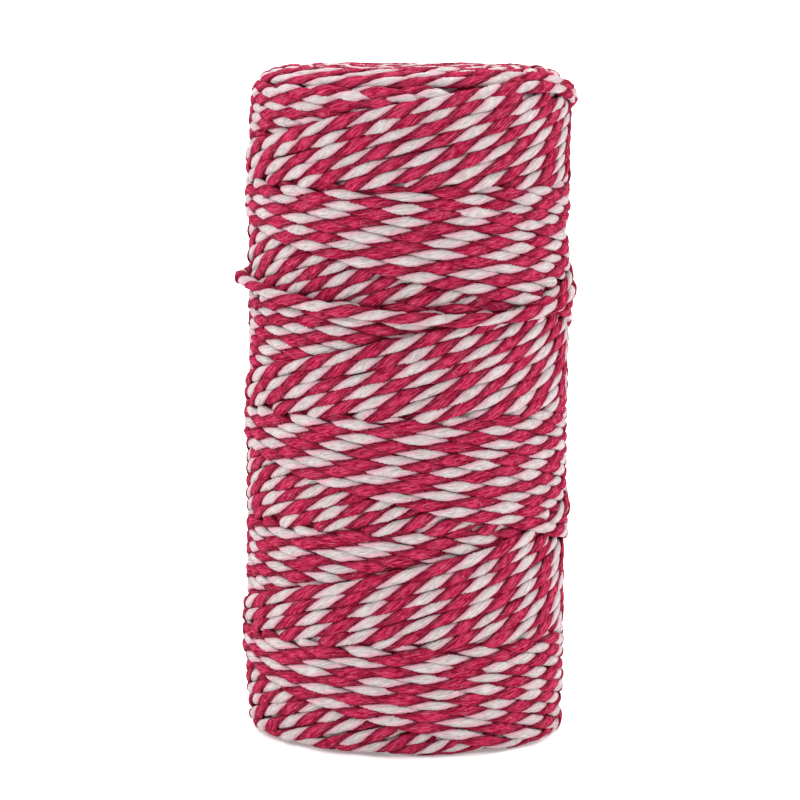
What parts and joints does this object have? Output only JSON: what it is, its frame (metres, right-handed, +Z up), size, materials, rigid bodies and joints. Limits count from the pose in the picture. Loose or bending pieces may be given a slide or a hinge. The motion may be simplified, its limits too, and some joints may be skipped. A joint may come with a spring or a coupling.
{
  "type": "roll of cotton twine",
  "caption": "Upright cross-wound roll of plied cotton twine, with slanting bands of turns, a rounded shoulder, a flat foot and a slack last turn.",
  "frame": {"origin": "middle of the flat spot that the roll stands on", "axes": "+Z up along the roll's axis, -Y towards the front, where the slack last turn sags lowest, +X to the right of the front"},
  "size_m": [0.0514, 0.0494, 0.1],
  "materials": {
    "cotton_twine": "matt two-ply cotton, one ply crimson and one ply off-white, with fine loose fibres"
  },
  "bodies": {
    "root": {"wound_twine": "cotton_twine"}
  },
  "joints": []
}
